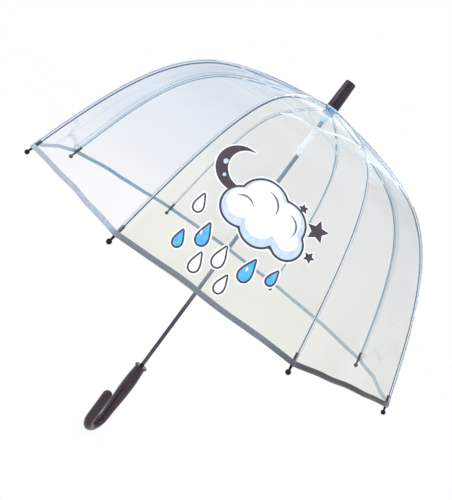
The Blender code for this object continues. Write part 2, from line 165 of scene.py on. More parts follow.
def standing(spot, axis):
    """The move that stands a turned mesh on this spot, its +Z along the axis."""
    turn = Vector((0, 0, 1)).rotation_difference(axis).to_matrix().to_4x4()
    return Matrix.Translation(spot) @ turn


# ---- materials


class Nodes:
    """A short way to write a node tree."""

    def __init__(self, tree):
        self.nodes = tree.nodes
        self.links = tree.links

    def put(self, node, key, value):
        """Sets an input, by its name or number, to a value, a socket or a node's first output."""
        if isinstance(value, bpy.types.Node):
            value = value.outputs[0]
        if isinstance(value, bpy.types.NodeSocket):
            self.links.new(value, node.inputs[key])
        else:
            node.inputs[key].default_value = value

    def node(self, kind, settings=None, **inputs):
        made = self.nodes.new("ShaderNode" + kind)
        for key, value in (settings or {}).items():
            setattr(made, key, value)
        for key, value in inputs.items():
            self.put(made, key.replace("_", " "), value)
        return made

    def numbered(self, kind, settings, values):
        """A node whose first inputs are these values."""
        made = self.node(kind, settings)
        for number, value in enumerate(values):
            self.put(made, number, value)
        return made

    def maths(self, operation, *values):
        return self.numbered("Math", {"operation": operation}, values)

    def vector(self, operation, *values):
        return self.numbered("VectorMath", {"operation": operation}, values)

    def dot(self, first, second):
        return self.vector("DOT_PRODUCT", first, second).outputs["Value"]

    def share(self, value, start, end):
        """Nought where the value is at the start, one where it is at the end."""
        return self.node("MapRange", Value=value, From_Min=start, From_Max=end)

    def grey(self, factor, low, high):
        """The factor mapped from 0..1 to this range."""
        return self.node("MapRange", Value=factor, To_Min=low, To_Max=high)

    def ramp(self, factor, stops):
        made = self.node("ValToRGB", Fac=factor)
        elements = made.color_ramp.elements
        while len(elements) < len(stops):
            elements.new(0.5)
        for element, (place, colour) in zip(elements, stops):
            element.position = place
            element.color = (*colour, 1.0)
        return made.outputs["Color"]

    def mix(self, factor, first, second, blend="MIX"):
        """A mix of two colours."""
        made = self.node("Mix", {"data_type": "RGBA", "blend_type": blend}, Factor=factor)
        self.put(made, 6, first)
        self.put(made, 7, second)
        return made.outputs["Result"]

    def either(self, factor, first, second):
        """A mix of two shaders."""
        return self.numbered("MixShader", None, (factor, first, second))


class Shader(Nodes):
    """A material in the making, for this slot of the record."""

    def __init__(self, name, slot=None, preview=(0.8, 0.8, 0.8, 1.0)):
        self.material = bpy.data.materials.new(name)
        self.material.use_nodes = True
        self.material.diffuse_color = preview
        self.slot = slot
        super().__init__(self.material.node_tree)
        self.surface = self.nodes["Principled BSDF"]

    def set(self, **inputs):
        for key, value in inputs.items():
            self.put(self.surface, key.replace("_", " "), value)

    def place(self):
        return self.node("TexCoord").outputs["Object"]

    def parts_of_place(self):
        """The place's X, Y and Z."""
        return self.node("SeparateXYZ", Vector=self.place()).outputs

    def noise(self, scale, detail=3.0, stretch=(1, 1, 1)):
        sized = self.node("Mapping", Vector=self.place(), Scale=stretch)
        return self.node("TexNoise", Vector=sized, Scale=scale, Detail=detail).outputs["Fac"]

    def bump(self, height, strength, distance):
        return self.node("Bump", Height=height, Strength=strength, Distance=distance)

    def facing(self):
        """Nought where the surface faces the viewer, one at its outline."""
        return self.node("LayerWeight", Blend=0.5).outputs["Facing"]

    def glance(self, power):
        """The same, kept low until the surface is seen at a glancing angle."""
        return self.maths("POWER", self.facing(), power)

    def finish(self, shader):
        """Wears this shader in place of the usual one."""
        self.put(self.nodes["Material Output"], "Surface", shader)

    def finish_clear(self, tint, haze, veil, mirror, shine):
        """Lets light through, tinted, under a share of haze from the veil and a share of mirror."""
        self.nodes.remove(self.surface)
        through = self.node("BsdfTransparent", Color=tint)
        hazed = self.either(haze, through, self.node("BsdfDiffuse", Color=veil))
        self.finish(self.either(mirror, hazed, self.node("BsdfGlossy", **shine)))


def moulded_plastic(name, slot, dark, light, roughness, shine=0.5, coat=0.0, glow=0.0):
    """Moulded plastic: faint mottling, orange peel and uneven gloss. glow is painted light: the plastic
    gives off light of its own, though it is no lamp.
    """
    made = Shader(name, slot, (*light, 1.0))
    mottle = made.noise(55, 4)
    grain = made.noise(900, 2)
    made.set(
        Base_Color=made.ramp(mottle, [(0.3, dark), (0.7, light)]),
        Roughness=made.grey(mottle, roughness - 0.06, roughness + 0.08),
        Normal=made.bump(grain, 0.25, 0.00005),
        Specular_IOR_Level=shine,
        Coat_Weight=coat,
        Coat_Roughness=0.12,
        # Painted glow: light given off by the plastic, though it is no lamp.
        Emission_Color=(*light, 1.0),
        Emission_Strength=glow,
    )
    return made


def metal(name, slot, dark, light, roughness, painted_shade_below=(1, 1, 1)):
    """Drawn metal: fine streaks along its length. Its last argument is a painted shade that darkens it
    below the canopy.
    """
    made = Shader(name, slot, (*light, 1.0))
    streaks = made.noise(260, 4, (1, 1, 0.02))
    # Painted shade: the metal is darker from z 0.42 down to 0.30 and below, outside the canopy.
    inside = made.share(made.parts_of_place()["Z"], 0.30, 0.42)
    shade = made.ramp(inside, [(0, painted_shade_below), (1, (1, 1, 1))])
    made.set(
        Base_Color=made.mix(1.0, made.ramp(streaks, [(0.3, dark), (0.7, light)]), shade, "MULTIPLY"),
        Metallic=0.92,
        Roughness=made.grey(streaks, roughness - 0.07, roughness + 0.10),
        Normal=made.bump(streaks, 0.15, 0.00004),
    )
    return made


# The side of the rods that their painted shade falls on, fixed in space.
SHADED_SIDE = Vector((0.80, -0.45, -0.40))


def rod_finish(name, slot, shaded, lit, glow, back=None):
    """A rod under clear resin, with painted light and shade: lit, but with painted shade towards
    SHADED_SIDE, another shaded tone at the back, and a glow that is painted light, given off though it is
    no lamp.
    """
    made = Shader(name, slot, (*lit, 1.0))
    fibres = made.noise(700, 3, (1, 1, 0.05))
    aside = made.dot(made.node("NewGeometry").outputs["Normal"], SHADED_SIDE)
    # Painted shade: the rods at the back, past y 0.01, take the back tone.
    behind = made.share(made.parts_of_place()["Y"], -0.01, 0.01)
    shade = made.mix(behind, (*shaded, 1), (*(back or shaded), 1))
    tone = made.mix(made.share(aside, -0.20, 0.16), (*lit, 1), shade)
    streaks = made.ramp(fibres, [(0.3, (0.70, 0.74, 0.78)), (0.7, (1, 1, 1))])
    made.set(
        Base_Color=made.mix(0.5, tone, streaks, "MULTIPLY"),
        Roughness=made.grey(fibres, 0.18, 0.34),
        Normal=made.bump(fibres, 0.2, 0.00003),
        Coat_Weight=0.5,
        # Painted glow: the rod gives off light, though it is no lamp.
        Emission_Color=tone,
        Emission_Strength=glow,
    )
    return made


def tint_and_painted_light(made, low_back, low_front, high_back, high_front):
    """The tint of clear sheet, with painted light in it: the two front gores differ from the rest, and it
    changes with height, as the light on the film does.
    """
    level = made.vector("MULTIPLY", made.place(), (1, 1, 0))
    frontness = made.dot(made.vector("NORMALIZE", level), spoke(FRONT_AZIMUTH)[0])
    # Painted light: the front gores' tint and the change with height.
    in_front = made.share(frontness, 0.69, 0.73)
    rise = made.share(made.parts_of_place()["Z"], 0.46, 0.64)
    back = made.mix(rise, (*low_back, 1), (*high_back, 1))
    front = made.mix(rise, (*low_front, 1), (*high_front, 1))
    edge = made.ramp(made.facing(), [(0.84, (1, 1, 1)), (0.99, (0.66, 0.76, 0.84))])
    return made.mix(1.0, made.mix(in_front, back, front), edge, "MULTIPLY")


def clear_sheet(name, slot, tints, haze, gloss, roughness):
    """Clear film: it tints what is behind it, hazes it, and mirrors more at a glancing angle."""
    made = Shader(name, slot, (*tints[0], 0.25))
    cloudy = made.grey(made.noise(9, 3, (1, 1, 0.4)), *haze)
    mirror = made.grey(made.glance(4.0), *gloss)
    ripple = made.bump(made.noise(26, 4, (1, 1, 0.25)), 0.3, 0.0006)
    shine = {"Color": (0.96, 0.98, 1.0, 1.0), "Roughness": roughness, "Normal": ripple}
    # Where the tints differ by gore and height they are painted light.
    made.finish_clear(tint_and_painted_light(made, *tints), cloudy, (0.93, 0.96, 1.0, 1.0), mirror, shine)
    return made


def cut_edge():
    """The cut edge of the film, which the weld or the tape hides: clear, and a trace cloudy."""
    made = Shader("film_edge", "clear_film", (0.95, 0.97, 1.0, 0.1))
    made.nodes.remove(made.surface)
    tint = made.ramp(made.noise(40, 2), [(0.3, (0.985, 0.99, 1.0)), (0.7, (1, 1, 1))])
    made.finish(made.node("BsdfTransparent", Color=tint))
    return made


def weld_seam():
    """The welded band: clear, whiter than the film, with a line of blue painted shade along each edge of
    the weld, standing in for the shade at the rib's sides.
    """
    made = Shader("weld_seam", "clear_film", (0.9, 0.95, 1.0, 0.5))
    edge = made.node("Attribute", {"attribute_name": "edge"}).outputs["Fac"]
    # Painted shade: where the edge value is high, the weld's edges turn blue.
    tint = made.ramp(edge, [(0.45, (0.95, 0.97, 0.98)), (0.75, (0.40, 0.52, 0.66))])
    cloudy = made.grey(made.noise(60), 0.01, 0.12)
    mirror = made.grey(made.glance(3.0), 0.06, 0.55)
    ripple = made.bump(made.noise(70, 3, (1, 1, 0.3)), 0.4, 0.0004)
    shine = {"Color": (1, 1, 1, 1), "Roughness": 0.10, "Normal": ripple}
    made.finish_clear(tint, cloudy, (0.90, 0.95, 1.0, 1.0), mirror, shine)
    return made


def crown_plastic():
    """Clear bluish plastic with painted glow: it gives off some light, though it is no lamp."""
    made = Shader("clear_blue_plastic", "clear_hub", (0.72, 0.83, 0.94, 0.8))
    cloud = made.noise(140)
    made.set(
        Base_Color=made.ramp(cloud, [(0.3, (0.30, 0.50, 0.76)), (0.7, (0.55, 0.73, 0.92))]),
        Roughness=made.grey(cloud, 0.16, 0.30),
        Alpha=0.94,
        Coat_Weight=0.4,
        # Painted glow, which lightens the hub where it would be in shade.
        Emission_Color=(0.36, 0.56, 0.80, 1.0),
        Emission_Strength=0.42,
    )
    return made


# The tape's colour with painted light and shade, at shares of a turn round the rim from -X: its darker
# and paler stretches follow the light on it
HEM_COLOUR_AND_PAINTED_LIGHT = (
    (0.00, (0.30, 0.42, 0.50)),
    (0.07, (0.40, 0.45, 0.54)),
    (0.18, (0.42, 0.46, 0.56)),
    (0.19, (0.19, 0.21, 0.23)),
    (0.29, (0.18, 0.21, 0.235)),
    (0.32, (0.052, 0.046, 0.050)),
    (0.43, (0.048, 0.043, 0.046)),
    (0.45, (0.46, 0.57, 0.64)),
    (0.65, (0.46, 0.56, 0.63)),
    (0.75, (0.30, 0.41, 0.52)),
    (0.90, (0.19, 0.37, 0.52)),
    (1.00, (0.30, 0.42, 0.50)),
)


def hem_tape():
    """Woven binding tape under film. Its shade changes round the rim as the light on it does."""
    made = Shader("hem_tape", "frosted_film", (0.5, 0.56, 0.62, 1.0))
    parts = made.parts_of_place()
    turn = made.maths("ARCTAN2", parts["Y"], parts["X"])
    weft = made.maths("SINE", made.maths("MULTIPLY", turn, 2600.0))
    warp = made.maths("SINE", made.maths("MULTIPLY", parts["Z"], 7000.0))
    mottle = made.ramp(made.noise(240, 4), [(0.35, (0.72, 0.75, 0.80)), (0.65, (1, 1, 1))])
    # Painted light and shade round the rim.
    colour = made.ramp(made.share(turn, -pi, pi), HEM_COLOUR_AND_PAINTED_LIGHT)
    made.set(
        Base_Color=made.mix(0.8, colour, mottle, "MULTIPLY"),
        Roughness=made.grey(made.noise(80), 0.38, 0.6),
        Normal=made.bump(made.maths("MULTIPLY", weft, warp), 0.25, 0.00015),
        Coat_Weight=0.35,
    )
    return made


def ink(name, dark, light):
    """Screen-printed ink: nearly flat, with a fine mesh texture and small gloss changes."""
    made = Shader(name, "clear_film", (*light, 1.0))
    mottle = made.noise(120, 4)
    dots = made.node("TexVoronoi", Vector=made.place(), Scale=1400.0)
    made.set(
        Base_Color=made.ramp(mottle, [(0.35, dark), (0.65, light)]),
        Roughness=made.grey(mottle, 0.32, 0.5),
        Normal=made.bump(dots.outputs["Distance"], 0.15, 0.00004),
    )
    return made


AUBERGINE = moulded_plastic(
    "aubergine_plastic", "aubergine", (0.017, 0.006, 0.012), (0.034, 0.014, 0.024), 0.30, 0.26, coat=0.4
)
FERRULE = moulded_plastic(
    "ferrule_plastic", "aubergine", (0.012, 0.004, 0.009), (0.025, 0.010, 0.018), 0.26, 0.20, coat=0.6
)
BLACK = moulded_plastic(
    "black_plastic", "black_plastic", (0.003, 0.002, 0.005), (0.008, 0.006, 0.011), 0.20, shine=0.22
)
# Painted glow on the white runner: it gives off a little light, though it is no lamp.
WHITE = moulded_plastic(
    "white_plastic", "white_plastic", (0.70, 0.76, 0.83), (0.86, 0.90, 0.94), 0.36, coat=0.2, glow=0.16
)
# The shaft's darker tone below the canopy is painted shade.
STEEL = metal(
    "dark_steel", "dark_steel", (0.17, 0.23, 0.28), (0.36, 0.44, 0.50), 0.22, painted_shade_below=(0.26, 0.235, 0.26)
)
SPRING = metal("spring_steel", "spring_steel", (0.42, 0.43, 0.45), (0.62, 0.63, 0.65), 0.34)
WIRE = metal("ring_wire", "spring_steel", (0.45, 0.47, 0.50), (0.70, 0.72, 0.74), 0.25)
# Painted light and shade on the rib rods: a lit tone, a dark painted shade, a teal painted shade at the
# back and a painted glow.
ROD = rod_finish(
    "rib_rod", "white_rod", (0.028, 0.085, 0.155), (0.82, 0.90, 0.95), glow=0.12, back=(0.13, 0.30, 0.40)
)
# Painted light and shade on the stretchers too, with a stronger painted glow.
STRETCHER = rod_finish("stretcher_rod", "white_rod", (0.60, 0.69, 0.77), (0.88, 0.93, 0.97), glow=0.34)
CROWN = crown_plastic()
# The film's tints low at the back, low in front, high at the back and high in front. Beyond the film's
# faint tint of its own, their differences are painted light: warmer on the two front gores, bluer high at
# the back.
FILM_TINTS_AND_PAINTED_LIGHT = ((0.974, 0.978, 0.986), (0.916, 0.913, 0.884), (0.934, 0.948, 0.968), (0.953, 0.948, 0.926))
FROST_TINTS = ((0.93, 0.955, 0.975),) * 4
FILM = clear_sheet("clear_film", "clear_film", FILM_TINTS_AND_PAINTED_LIGHT, (0.0, 0.012), (0.028, 0.40), 0.10)
FROSTED = clear_sheet("frosted_film", "frosted_film", FROST_TINTS, (0.10, 0.24), (0.04, 0.5), 0.25)
FILM_RIM = cut_edge()
SEAM = weld_seam()
HEM_TAPE = hem_tape()
INKS = {
    "halo": ink("ink_white_base", (0.86, 0.87, 0.88), (0.93, 0.94, 0.95)),
    "dark": ink("ink_aubergine", (0.045, 0.030, 0.042), (0.062, 0.043, 0.058)),
    "white": ink("ink_white", (0.90, 0.92, 0.94), (0.97, 0.98, 0.99)),
    "pale": ink("ink_pale_blue", (0.50, 0.60, 0.78), (0.60, 0.69, 0.84)),
    "grey": ink("ink_slate", (0.12, 0.13, 0.19), (0.17, 0.18, 0.25)),
    "blue": ink("ink_bright_blue", (0.07, 0.38, 0.78), (0.12, 0.50, 0.90)),
}


# ---- mesh tools


def new_piece(name, mesh, shader, body, smooth, replaces=(), rim=None):
    """This mesh as a piece that rides on a body, if any. rim is the finish of a sheet's cut edges."""
    made = placed(name, mesh)
    mesh.materials.clear()
    mesh.materials.append(shader.material)
    if rim:
        mesh.materials.append(rim.material)
    mesh.shade_smooth()
    mesh.set_sharp_from_angle(angle=radians(smooth))
    if body:
        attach(made, body)
    if replaces:
        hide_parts(*replaces)
    return made


def circle(count):
    """The angles of this many points round a circle."""
    return [2 * pi * i / count for i in range(count)]


def polar(reach, angle, centre=(0.0, 0.0)):
    return centre[0] + reach * cos(angle), centre[1] + reach * sin(angle)


def grid_mesh(name, rows, wrap=False, close=False):
    """A mesh through rows of points. wrap joins each row into a ring, and close fills the end rings."""
    across = len(rows[0])
    points = [tuple(point) for row in rows for point in row]
    faces = []
    for i in range(len(rows) - 1):
        for j in range(across if wrap else across - 1):
            k = (j + 1) % across
            faces.append((i * across + j, i * across + k, (i + 1) * across + k, (i + 1) * across + j))
    if close:
        last = (len(rows) - 1) * across
        faces.append(tuple(reversed(range(across))))
        faces.append(tuple(range(last, last + across)))
    mesh = bpy.data.meshes.new(name)
    mesh.from_pydata(points, [], faces)
    tidy_mesh(mesh)
    return mesh


@contextmanager
def editing(mesh):
    """The mesh's shape, which is written back to the mesh after the edits."""
    shape = bmesh.new()
    shape.from_mesh(mesh)
    yield shape
    shape.to_mesh(mesh)
    shape.free()


def tidy_mesh(mesh):
    with editing(mesh) as shape:
        bmesh.ops.remove_doubles(shape, verts=shape.verts, dist=1e-7)
        bmesh.ops.recalc_face_normals(shape, faces=shape.faces)


def cut_across(shape, normal, reaches):
    """Cuts the faces by planes square to the normal, at these reaches along it."""
    for reach in reaches:
        geometry = shape.verts[:] + shape.edges[:] + shape.faces[:]
        bmesh.ops.bisect_plane(shape, geom=geometry, plane_co=normal * reach, plane_no=normal, dist=1e-6)


def lathe(name, profile, segments, loop=False):
    """A turned solid about +Z from (radius, height) points. loop joins the last point to the first."""
    rings = []
    for radius, height in profile + (profile[:1] if loop else []):
        rings.append([(*polar(radius, a), height) for a in circle(segments)])
    return grid_mesh(name, rings, wrap=True)


def tube(name, points, radii, sides, loop=False):
    """A round rod through the points, turned as little as possible from one ring to the next."""
    points = [Vector(p) for p in points]
    count = len(points)
    along = []
    for i in range(count):
        before = points[i - 1] if i or loop else points[i]
        after = points[(i + 1) % count] if i < count - 1 or loop else points[i]
        along.append((after - before).normalized())
    side = along[0].orthogonal().normalized()
    rings = []
    for point, radius, direction in zip(points, radii, along):
        side = (side - direction * side.dot(direction)).normalized()
        other = direction.cross(side)
        rings.append([point + radius * (cos(a) * side + sin(a) * other) for a in circle(sides)])
    if loop:
        rings.append(rings[0])
    return grid_mesh(name, rings, wrap=True, close=not loop)


def curved_through(points, spacing):
    """Closely spaced points on a smooth curve through these points."""
    points = [Vector(p) for p in points]
    ends = [2 * points[0] - points[1]] + points + [2 * points[-1] - points[-2]]
    result = []
    for a, b, c, d in zip(ends, ends[1:], ends[2:], ends[3:]):
        count = max(2, round((c - b).length / spacing))
        for i in range(count):
            t = i / count
            straight = 2 * b + (c - a) * t
            bend = (2 * a - 5 * b + 4 * c - d) * t * t
            turn = (3 * b - a - 3 * c + d) * t**3
            result.append(0.5 * (straight + bend + turn))
    result.append(points[-1])
    return result


def softened(node, bevel):
    """The CAD node's own shape as a mesh with its edges softened."""
    mesh = frame["nodes"][node].data.copy()
    if "custom_normal" in mesh.attributes:
        mesh.attributes.remove(mesh.attributes["custom_normal"])
    tidy_mesh(mesh)
    with editing(mesh) as shape:
        bmesh.ops.remove_doubles(shape, verts=shape.verts, dist=2e-6)
        bmesh.ops.dissolve_limit(shape, angle_limit=radians(1), verts=shape.verts, edges=shape.edges)
        sharp = [e for e in shape.edges if e.is_manifold and e.calc_face_angle() > radians(40)]
        bmesh.ops.bevel(
            shape, geom=sharp, offset=bevel, segments=2, affect="EDGES", profile=0.5, clamp_overlap=True
        )
    return mesh


def from_cad(node, shader, body, bevel):
    new_piece(node + "_look", softened(node, bevel), shader, body, 30, (node,))


# ---- canopy outline


def film_outline():
    """The film's outline above a rib and the number of its point at the flex line.

    It runs from crown to hem in closely spaced (radius, height) points. The CAD's panels have an inner
    and an outer corner for each, and their angle about a centre in the dome puts them in order.
    """
    centre_height = 0.40
    parts = []
    for node in ("canopy_upper_8", "canopy_lower_8"):
        places = [v.co for v in frame["nodes"][node].data.vertices if v.co.y > 0]
        corners = {(round(place.x, 6), round(place.z, 6)) for place in places}
        corners = sorted(corners, key=lambda c: atan2(c[0], c[1] - centre_height))
        pairs = zip(corners[0::2], corners[1::2])
        parts.append([Vector(((a[0] + b[0]) / 2 / FLAT, (a[1] + b[1]) / 2)) for a, b in pairs])
    dense = curved_through(parts[0] + parts[1][1:], 0.003)
    flex = joint_point("canopy_flex_1")
    away = [abs(point.x * FLAT - flex.x) + abs(point.y - flex.y) for point in dense]
    number = away.index(min(away))
    dense[number] = Vector((flex.x / FLAT, flex.y))
    return dense, number


OUTLINE, FLEX_NUMBER = film_outline()
LENGTHS = [0.0]
for before, after in zip(OUTLINE, OUTLINE[1:]):
    LENGTHS.append(LENGTHS[-1] + (after - before).length)
HEM_D = LENGTHS[-1]
FLEX_D = LENGTHS[FLEX_NUMBER]


def outline_at(d):
    """(radius, height) on the outline this far down the film from the crown, and the direction there."""
    i = min(max(bisect_right(LENGTHS, d) - 1, 0), len(OUTLINE) - 2)
    before, after = OUTLINE[i], OUTLINE[i + 1]
    share = (d - LENGTHS[i]) / (LENGTHS[i + 1] - LENGTHS[i])
    start = OUTLINE[max(i - 1, 0)]
    end = OUTLINE[min(i + 2, len(OUTLINE) - 1)]
    return before.lerp(after, share), (end - start).normalized()


def off_film(along):
    """The (radius, height) direction outwards off film that runs along this one."""
    return Vector((-along.y, along.x))


def smooth_step(share):
    share = max(0.0, min(1.0, share))
    return share * share * (3 - 2 * share)


def stand_off(azimuth, share, d):
    """How far the film stands off the flat between two ribs. It is nil at the ribs and the flex line."""
    calm = 1 - exp(-(((d - FLEX_D) / FLAT_BY_FLEX) ** 2))
    bulge = HEM_BULGE * smooth_step((d - FLEX_D) / (HEM_D - FLEX_D))
    slow = Vector((4 * cos(azimuth) + share * 1.6, 4 * sin(azimuth), d * 9))
    fine = Vector((9 * cos(azimuth) + share * 5.0, 9 * sin(azimuth), d * 5))
    slack = SLACK_AT_CROWN + SLACK_AT_HEM * (d / HEM_D) ** 3
    uneven = slack * noise.noise(slow) * 1.6 + CREASE * noise.noise(fine) * (1 - d / HEM_D)
    return (1 - share * share) * (bulge + calm * uneven)


def half_width(d):
    return outline_at(d)[0].x * sin(STEP / 2)


def on_gore(azimuth, u, d, lift=0.0):
    """A point on a gore of the canopy."""
    point, along = outline_at(d)
    share = u / (point.x * sin(STEP / 2))
    normal = Vector((-along.y, along.x * FLAT)).normalized()
    off = lift + stand_off(azimuth, max(-1, min(1, share)), d)
    outwards, sideways, up = spoke(azimuth)
    return outwards * (point.x * FLAT + normal.x * off) + sideways * u + up * (point.y + normal.y * off)


def on_rib(azimuth, tau, d, lift):
    """A point over a rib: tau is sideways from its plane, where the two gores fall away."""
    point, along = outline_at(d)
    normal = off_film(along)
    off = lift - abs(tau) * sin(STEP / 2) / FLAT * normal.x
    outwards, sideways, up = spoke(azimuth)
    return outwards * (point.x + normal.x * off) + sideways * tau + up * (point.y + normal.y * off)


def fold_with_panel(piece):
    """Gives the piece a mesh of its own."""
    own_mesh(piece)


def bend_with_rib(piece, number):
    """Bakes the piece's place into its mesh. The points ROD_BEND to either side of the place where the
    rod flexes are worked out but not used, so the piece does not bend.
    """
    azimuth = rib_azimuth(number)
    start, end = (in_plane(azimuth, outline_at(FLEX_D + away)[0]) for away in (-ROD_BEND, ROD_BEND))
    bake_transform(piece)


# ---- canopy


def thick_sheet(name, rows, thickness, edge=None):
    """A closed sheet of this thickness about the rows of points. Its cut edges have material index 1.

    edge is a value for each point of a row, which a material can read.
    """
    thin = grid_mesh(name, rows)
    across, count = len(rows[0]), len(rows)
    total = count * across
    points = [vertex.co + vertex.normal * thickness / 2 for vertex in thin.vertices]
    points += [vertex.co - vertex.normal * thickness / 2 for vertex in thin.vertices]
    front = [tuple(polygon.vertices) for polygon in thin.polygons]
    back = [tuple(total + number for number in reversed(face)) for face in front]
    border = list(range(across))
    border += [across * row + across - 1 for row in range(1, count)]
    border += list(range(total - 2, total - across - 1, -1))
    border += [across * row for row in range(count - 2, 0, -1)]
    rim = [(a, b, total + b, total + a) for a, b in zip(border, border[1:] + border[:1])]
    mesh = bpy.data.meshes.new(name)
    mesh.from_pydata(points, [], front + back + rim)
    if edge:
        mesh.attributes.new("edge", "FLOAT", "POINT").data.foreach_set("value", edge * (2 * count))
    tidy_mesh(mesh)
    for polygon in mesh.polygons[len(front) + len(back):]:
        polygon.material_index = 1
    return mesh


def make_gores():
    """Each gore's film in two parts, with close rows beside the flex line, where they fold."""
    parts = (("upper", FILM_START, FLEX_D, 34), ("lower", FLEX_D, HEM_D, 44))
    shares = [2 * j / 16 - 1 for j in range(17)]
    for number in NUMBERS:
        azimuth = panel_azimuth(number)
        for part, start, end, count in parts:
            steps = [start + (end - start) * i / count for i in range(count + 1)]
            steps += [end - gap if part == "upper" else start + gap for gap in NEAR_FLEX]
            rows = []
            for d in sorted(steps):
                rows.append([on_gore(azimuth, half_width(d) * share, d) for share in shares])
            node = f"canopy_{part}_{number}"
            mesh = thick_sheet("film", rows, FILM_THICKNESS)
            piece = new_piece(f"film_{part}_{number}", mesh, FILM, node, 80, (node,), FILM_RIM)
            fold_with_panel(piece)


def make_seams():
    """A weld band along each rib: flat flanges and a raised bead, wider where it is doubled."""
    # The third value of each flange point marks where the weld's painted blue shade line lies.
    flange = [(0.0022, 0.0003, 1.0), (0.0018, 0.0006, 1.0), (0.0015, 0.0008, 0.2), (0.0009, 0.0010, 0.0)]
    section = [(-tau, lift, edge) for tau, lift, edge in flange] + [(0.0, 0.0015, 0.0)] + flange[::-1]
    count = 110
    for number in NUMBERS:
        rows = []
        for i in range(count + 1):
            d = SEAM_START + (HEM_D - 0.002 - SEAM_START) * i / count
            doubled = exp(-(((d - FLEX_D + 0.036) / 0.018) ** 2))
            wide = min(1.0, 0.45 + d / 0.10) + doubled
            rows.append([on_rib(rib_azimuth(number), tau * wide, d, lift) for tau, lift, _ in section])
        mesh = thick_sheet("seam", rows, FILM_THICKNESS, [edge for _, _, edge in section])
        bend_with_rib(new_piece(f"weld_seam_{number}", mesh, SEAM, None, 80), number)


def hem_height(azimuth, share):
    """The hem rises a little between the tips, and is never quite even."""
    uneven = noise.noise(Vector((3 * cos(azimuth) + 2.2 * share, 3 * sin(azimuth), 7.7)))
    return (1 - share * share) * (0.0016 + 0.0026 * uneven)


def make_hem():
    """A folded tape round the edge of each gore, with a rounded fold at the bottom."""
    tall, thick, roll = 0.0082, 0.0007, 0.0004
    outside = [(tall, thick), (tall * 0.97, thick + roll)]
    outside += [(0.001, thick + 0.0005), (-0.0002, thick * 0.8)]
    section = outside + [(-0.0006, 0.0)] + [(up, -lift) for up, lift in reversed(outside)]
    count = 40
    for number in NUMBERS:
        azimuth = panel_azimuth(number)
        rings = []
        for i in range(count + 1):
            share = 2 * i / count - 1
            bottom = hem_height(azimuth, share)
            depths = [(HEM_D - up - bottom, lift) for up, lift in section]
            rings.append([on_gore(azimuth, share * half_width(d), d, lift) for d, lift in depths])
        mesh = grid_mesh("hem", rings, wrap=True, close=True)
        tape = new_piece(f"hem_tape_{number}", mesh, HEM_TAPE, f"canopy_lower_{number}", 50)
        fold_with_panel(tape)


# ---- ribs, tips, stretchers


def under_film(d):
    """(radius, height) of a rib's centreline this far down the film."""
    point, along = outline_at(d)
    return point - FILM_ABOVE_RIB * off_film(along)


def make_ribs():
    """Each rod from its eye in the crown to the socket in its tip, a little thinner at the eye."""
    for number in NUMBERS:
        notch = joint_point(f"rib_hinge_{number}")
        line = [notch, notch + Vector((0.006, -0.0008))]
        line += [under_film(RIB_START + (HEM_D - RIB_START) * i / 60) for i in range(61)]
        line = curved_through([in_plane(rib_azimuth(number), point) for point in line], 0.006)
        radii = [0.0012 + 0.00006 * i for i in range(5)] + [ROD_RADIUS] * (len(line) - 5)
        piece = new_piece(f"rib_{number}", tube("rib", line, radii, 12), ROD, None, 60)
        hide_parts(f"rib_upper_{number}", f"rib_lower_{number}")
        bend_with_rib(piece, number)


def tip_frame(number):
    """Where the tip's ball is, with +Z up the socket, from the box of the CAD tip."""
    low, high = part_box(f"rib_tip_{number}")
    azimuth = rib_azimuth(number)
    radius = (max(abs(low.x), abs(high.x)) - BALL_RADIUS) / abs(cos(azimuth))
    centre = in_plane(azimuth, Vector((radius, low.z + BALL_RADIUS)))
    return standing(centre, (in_plane(azimuth, under_film(HEM_D)) - centre).normalized())


def make_tips():
    """A ball on a waisted stem, a stop collar under the hem, and a socket with a rolled mouth."""
    profile = [(0.0, -BALL_RADIUS)]
    profile += [polar(BALL_RADIUS, -pi / 2 + (pi * 0.885) * i / 12) for i in range(1, 13)]
    profile += [(0.0020, 0.0054), (0.0020, 0.0080), (0.0023, 0.0088), (0.0023, 0.0152)]
    profile += [(0.0026, 0.0162), (0.00265, 0.0200), (0.00255, 0.0210), (0.00265, 0.0220)]
    profile += [(0.00265, 0.0290), (0.0028, 0.0297), (0.0028, 0.0305), (0.0025, 0.0310)]
    profile += [(0.0019, 0.0310), (0.0018, 0.0300), (0.0018, 0.0100), (0.0, 0.0100)]
    for number in NUMBERS:
        mesh = lathe("tip", profile, 32)
        mesh.transform(tip_frame(number))
        new_piece(f"tip_{number}", mesh, BLACK, f"rib_lower_{number}", 45, (f"rib_tip_{number}",))


def bowed(mesh, azimuth):
    """The stretcher's mesh bowed upwards a little along its length, as a thin rod under load is."""
    outwards = spoke(azimuth)[0]
    reaches = [vertex.co.dot(outwards) for vertex in mesh.vertices]
    near, far = min(reaches), max(reaches)
    with editing(mesh) as shape:
        cut_across(shape, outwards, [near + (far - near) * i / 16 for i in range(1, 16)])
        for vert in shape.verts:
            share = (vert.co.dot(outwards) - near) / (far - near)
            vert.co.z += STRETCHER_BOW * sin(pi * max(0.0, share) ** BOW_SKEW)
    return mesh


def make_stretchers():
    for number in NUMBERS:
        name = f"stretcher_{number}"
        mesh = bowed(softened(name, 0.00035), rib_azimuth(number))
        new_piece(name + "_look", mesh, STRETCHER, name, 30, (name,))


